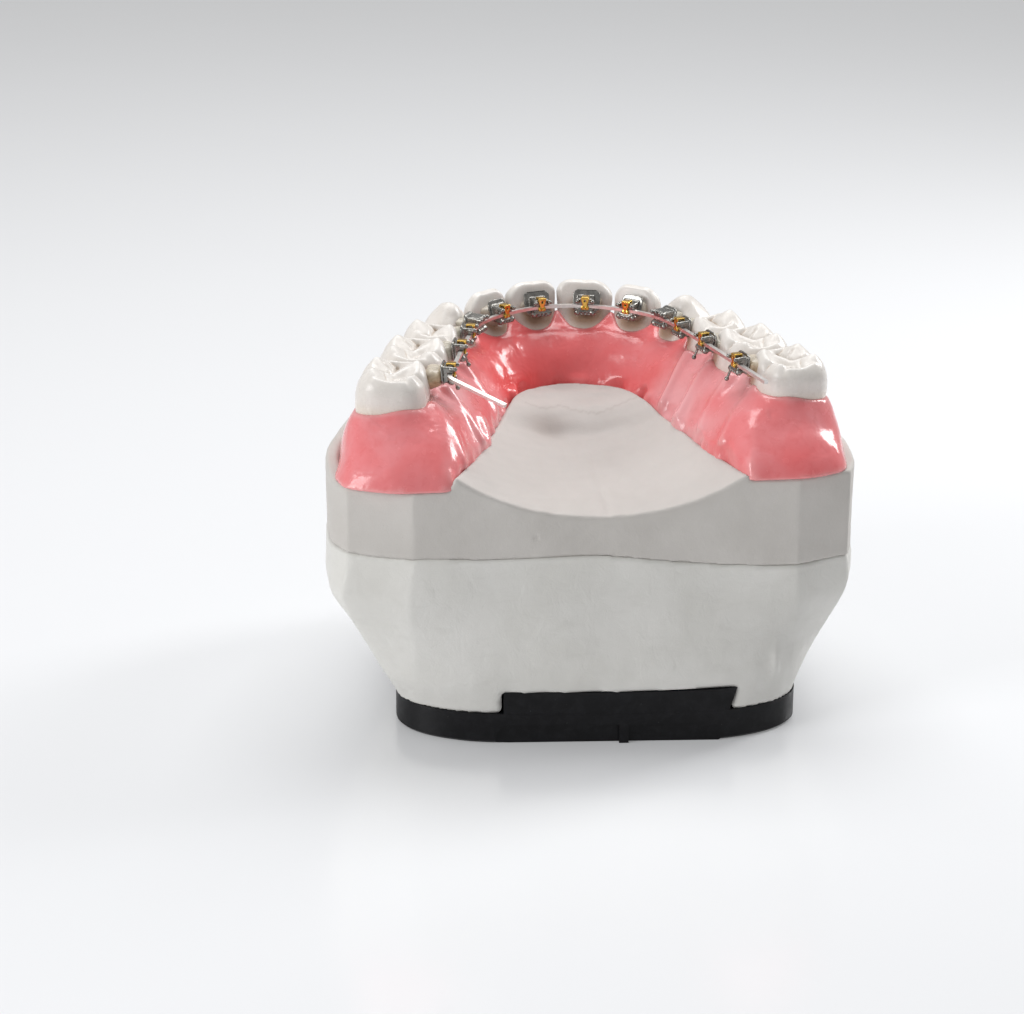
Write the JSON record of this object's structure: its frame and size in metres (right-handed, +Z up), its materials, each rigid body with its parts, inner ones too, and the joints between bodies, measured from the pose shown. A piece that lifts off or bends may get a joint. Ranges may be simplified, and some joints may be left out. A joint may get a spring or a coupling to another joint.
{
  "type": "dental typodont",
  "caption": "Upper dental set-up cast on a black mounting plate, with teeth set in pink wax and inside (lingual) self-ligating braces joined by a rectangular archwire.",
  "frame": {"origin": "centre of the flat underside of the black mounting plate", "axes": "+Z up from the plate to the biting edges; +Y towards the front teeth; +X to the right of someone facing the flat trimmed back of the cast"},
  "size_m": [0.0663, 0.0555, 0.0472],
  "materials": {
    "plate_black": "satin black moulded plastic",
    "disc_steel": "zinc-plated steel",
    "mounting_plaster": "matte white mounting plaster",
    "cast_stone": "matte dental stone",
    "pink_wax": "flamed glossy coral-pink wax",
    "tooth": "smooth off-white tooth stone",
    "bracket_steel": "cast stainless steel",
    "clip_gold": "bright gold-coloured spring",
    "bonding_resin": "yellow-brown bonding resin",
    "wire": "polished rectangular wire"
  },
  "bodies": {
    "model": {"archwire": "wire", "bracket_left_canine": "bracket_steel", "bracket_left_central_incisor": "bracket_steel", "bracket_left_first_molar": "bracket_steel", "bracket_left_lateral_incisor": "bracket_steel", "bracket_left_premolar": "bracket_steel", "bracket_left_second_molar": "bracket_steel", "bracket_right_canine": "bracket_steel", "bracket_right_central_incisor": "bracket_steel", "bracket_right_first_molar": "bracket_steel", "bracket_right_lateral_incisor": "bracket_steel", "bracket_right_premolar": "bracket_steel", "bracket_right_second_molar": "bracket_steel", "mounting_plaster": "mounting_plaster", "mounting_plate": "plate_black", "resin_left_canine": "bonding_resin", "resin_left_central_incisor": "bonding_resin", "resin_left_first_molar": "bonding_resin", "resin_left_lateral_incisor": "bonding_resin", "resin_left_premolar": "bonding_resin", "resin_left_second_molar": "bonding_resin", "resin_right_canine": "bonding_resin", "resin_right_central_incisor": "bonding_resin", "resin_right_first_molar": "bonding_resin", "resin_right_lateral_incisor": "bonding_resin", "resin_right_premolar": "bonding_resin", "resin_right_second_molar": "bonding_resin", "retention_disc": "disc_steel", "stone_cast": "cast_stone", "tooth_left_canine": "tooth", "tooth_left_central_incisor": "tooth", "tooth_left_first_molar": "tooth", "tooth_left_lateral_incisor": "tooth", "tooth_left_premolar": "tooth", "tooth_left_second_molar": "tooth", "tooth_right_canine": "tooth", "tooth_right_central_incisor": "tooth", "tooth_right_first_molar": "tooth", "tooth_right_lateral_incisor": "tooth", "tooth_right_premolar": "tooth", "tooth_right_second_molar": "tooth", "wax_gum": "pink_wax"},
    "right_central_incisor_clip": {"clip_right_central_incisor": "clip_gold"},
    "left_central_incisor_clip": {"clip_left_central_incisor": "clip_gold"},
    "right_lateral_incisor_clip": {"clip_right_lateral_incisor": "clip_gold"},
    "left_lateral_incisor_clip": {"clip_left_lateral_incisor": "clip_gold"},
    "right_premolar_clip": {"clip_right_premolar": "clip_gold"},
    "left_premolar_clip": {"clip_left_premolar": "clip_gold"},
    "right_first_molar_clip": {"clip_right_first_molar": "clip_gold"},
    "left_first_molar_clip": {"clip_left_first_molar": "clip_gold"},
    "right_second_molar_clip": {"clip_right_second_molar": "clip_gold"},
    "left_second_molar_clip": {"clip_left_second_molar": "clip_gold"}
  },
  "joints": [
    {"name": "right_central_incisor_clip_slide", "type": "slide", "parent": "model", "child": "right_central_incisor_clip", "axis": [0, 0, 1], "range_m": [0, 0.0009]},
    {"name": "left_central_incisor_clip_slide", "type": "slide", "parent": "model", "child": "left_central_incisor_clip", "axis": [0, 0, 1], "range_m": [0, 0.0009]},
    {"name": "right_lateral_incisor_clip_slide", "type": "slide", "parent": "model", "child": "right_lateral_incisor_clip", "axis": [0, 0, 1], "range_m": [0, 0.0009]},
    {"name": "left_lateral_incisor_clip_slide", "type": "slide", "parent": "model", "child": "left_lateral_incisor_clip", "axis": [0, 0, 1], "range_m": [0, 0.0009]},
    {"name": "right_premolar_clip_slide", "type": "slide", "parent": "model", "child": "right_premolar_clip", "axis": [0, 0, 1], "range_m": [0, 0.0009]},
    {"name": "left_premolar_clip_slide", "type": "slide", "parent": "model", "child": "left_premolar_clip", "axis": [0, 0, 1], "range_m": [0, 0.0009]},
    {"name": "right_first_molar_clip_slide", "type": "slide", "parent": "model", "child": "right_first_molar_clip", "axis": [0, 0, 1], "range_m": [0, 0.0009]},
    {"name": "left_first_molar_clip_slide", "type": "slide", "parent": "model", "child": "left_first_molar_clip", "axis": [0, 0, 1], "range_m": [0, 0.0009]},
    {"name": "right_second_molar_clip_slide", "type": "slide", "parent": "model", "child": "right_second_molar_clip", "axis": [0, 0, 1], "range_m": [0, 0.0009]},
    {"name": "left_second_molar_clip_slide", "type": "slide", "parent": "model", "child": "left_second_molar_clip", "axis": [0, 0, 1], "range_m": [0, 0.0009]}
  ]
}
